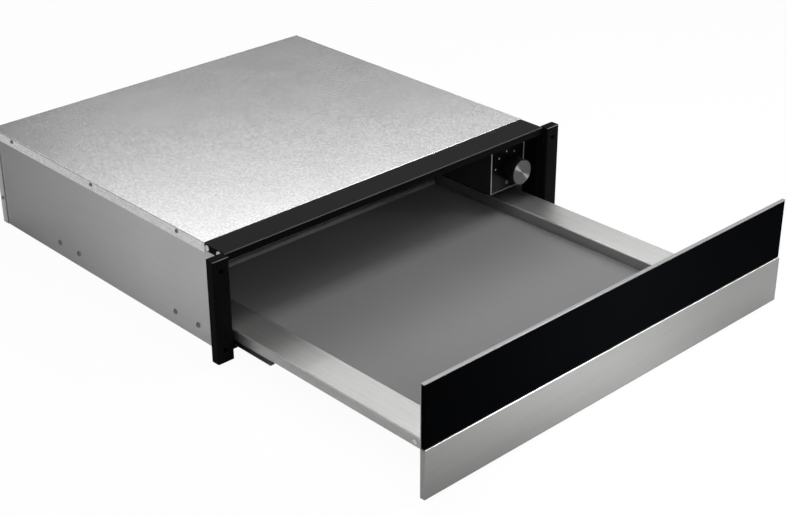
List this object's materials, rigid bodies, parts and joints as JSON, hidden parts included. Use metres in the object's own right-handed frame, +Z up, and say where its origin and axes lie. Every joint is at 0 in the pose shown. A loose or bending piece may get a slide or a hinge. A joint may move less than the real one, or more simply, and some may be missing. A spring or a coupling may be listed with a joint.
{
  "type": "built-in warming drawer",
  "caption": "Low built-in warming drawer, pulled out: sheet-steel casing with black front frame and fan heater, shallow tray with anti-slip mat on ball runners, black glass and steel front.",
  "frame": {"origin": "middle of the casing's underside, where it stands in the cabinet", "axes": "+X right seen from the front, +Y to the back, +Z up; the drawer pulls out along -Y"},
  "size_m": [0.594, 0.862, 0.139],
  "materials": {
    "galvanised_sheet": "galvanised sheet steel with a fine spangle",
    "side_sheet": "smooth zinc-coated sheet steel, dull",
    "zinc_screws": "bright zinc-plated pan-head screws",
    "black_frame": "black powder coat, fine satin texture",
    "black_box": "black enamelled sheet steel",
    "facia_black": "black moulded facia, satin",
    "grey_print": "light grey outline round the facia",
    "ivory_plastic": "ivory heat-proof moulding",
    "copper_tube": "drawn copper",
    "aluminised_sheet": "aluminised heater sheet",
    "element_steel": "heat-darkened steel tube",
    "motor_iron": "lacquered motor laminations",
    "ceramic": "cream ceramic thermal cut-out",
    "black_nylon": "black nylon",
    "wire_cover": "silicone-covered wires, dark red",
    "rail_steel": "bright zinc-plated rail",
    "cage_steel": "steel balls in a pressed strip",
    "shaft_steel": "turned steel",
    "fan_sheet": "pressed aluminium impeller",
    "knob_black": "black moulded knob",
    "spun_metal": "spun aluminium cap with fine rings",
    "white_plastic": "white acetal",
    "stainless": "brushed stainless sheet",
    "front_steel": "fingerprint-proof brushed stainless steel",
    "mat_rubber": "dark grey anti-slip rubber",
    "black_glass": "black-backed flat glass",
    "buffer_rubber": "black rubber"
  },
  "bodies": {
    "casing": {"base_plate": "galvanised_sheet", "side_panel_left": "side_sheet", "side_panel_right": "side_sheet", "back_panel": "side_sheet", "top_cover": "galvanised_sheet", "cover_screws": "zinc_screws", "back_screws": "zinc_screws", "frame_top_bar": "black_frame", "top_bar_screws": "zinc_screws", "frame_post_left": "black_frame", "frame_post_right": "black_frame", "frame_bottom_bar": "black_frame", "control_box": "black_box", "control_facia": "facia_black", "facia_trim": "grey_print", "thermostat_body": "ivory_plastic", "capillary_tube": "copper_tube", "heater_housing": "aluminised_sheet", "heater_grille": "aluminised_sheet", "heating_element": "element_steel", "fan_motor": "motor_iron", "thermal_cutout": "ceramic", "terminal_block": "ivory_plastic", "cable_gland": "black_nylon", "wiring_loom": "wire_cover", "latch_housing": "black_nylon", "runner_outer_left": "rail_steel", "runner_outer_right": "rail_steel", "runner_screws": "zinc_screws"},
    "drawer": {"runner_inner_left": "rail_steel", "runner_inner_right": "rail_steel", "drawer_tray": "stainless", "anti_slip_mat": "mat_rubber", "panel_backing": "rail_steel", "glass_front": "black_glass", "steel_front": "front_steel", "panel_bracket_left": "rail_steel", "panel_bracket_right": "rail_steel", "drawer_screws": "zinc_screws", "panel_buffers": "buffer_rubber", "latch_striker": "rail_steel"},
    "middle_rail_left": {"runner_middle_left": "rail_steel"},
    "middle_rail_right": {"runner_middle_right": "rail_steel"},
    "lower_cage_left": {"ball_cage_lower_left": "cage_steel"},
    "lower_cage_right": {"ball_cage_lower_right": "cage_steel"},
    "upper_cage_left": {"ball_cage_upper_left": "cage_steel"},
    "upper_cage_right": {"ball_cage_upper_right": "cage_steel"},
    "knob": {"knob_body": "knob_black", "knob_cap": "spun_metal", "knob_shaft": "shaft_steel"},
    "fan": {"fan_shaft": "shaft_steel", "fan_impeller": "fan_sheet"},
    "push_latch": {"latch_plunger": "white_plastic"}
  },
  "joints": [
    {"name": "drawer_slide", "type": "slide", "parent": "casing", "child": "drawer", "axis": [0, -1, 0], "range_m": [-0.338, 0]},
    {"name": "middle_rail_slide_left", "type": "slide", "parent": "casing", "child": "middle_rail_left", "axis": [0, -1, 0], "range_m": [-0.169, 0]},
    {"name": "lower_cage_roll_left", "type": "slide", "parent": "casing", "child": "lower_cage_left", "axis": [0, -1, 0], "range_m": [-0.0845, 0]},
    {"name": "upper_cage_roll_left", "type": "slide", "parent": "casing", "child": "upper_cage_left", "axis": [0, -1, 0], "range_m": [-0.2535, 0]},
    {"name": "middle_rail_slide_right", "type": "slide", "parent": "casing", "child": "middle_rail_right", "axis": [0, -1, 0], "range_m": [-0.169, 0]},
    {"name": "lower_cage_roll_right", "type": "slide", "parent": "casing", "child": "lower_cage_right", "axis": [0, -1, 0], "range_m": [-0.0845, 0]},
    {"name": "upper_cage_roll_right", "type": "slide", "parent": "casing", "child": "upper_cage_right", "axis": [0, -1, 0], "range_m": [-0.2535, 0]},
    {"name": "knob_turn", "type": "hinge", "parent": "casing", "child": "knob", "pos_m": [0.2285, -0.223, 0.08], "axis": [0, 1, 0], "range_deg": [-131, 164]},
    {"name": "fan_spin", "type": "hinge", "parent": "casing", "child": "fan", "pos_m": [0, 0.2125, 0.086], "axis": [0, 1, 0], "continuous": true},
    {"name": "latch_press", "type": "slide", "parent": "casing", "child": "push_latch", "axis": [0, 1, 0], "range_m": [0, 0.005], "stiffness_N_per_m": 400, "springref_m": -0.003}
  ],
  "couplings": [
    {"joint": "middle_rail_slide_left", "follows": "drawer_slide", "ratio": 0.5},
    {"joint": "lower_cage_roll_left", "follows": "drawer_slide", "ratio": 0.25},
    {"joint": "upper_cage_roll_left", "follows": "drawer_slide", "ratio": 0.75},
    {"joint": "middle_rail_slide_right", "follows": "drawer_slide", "ratio": 0.5},
    {"joint": "lower_cage_roll_right", "follows": "drawer_slide", "ratio": 0.25},
    {"joint": "upper_cage_roll_right", "follows": "drawer_slide", "ratio": 0.75}
  ]
}
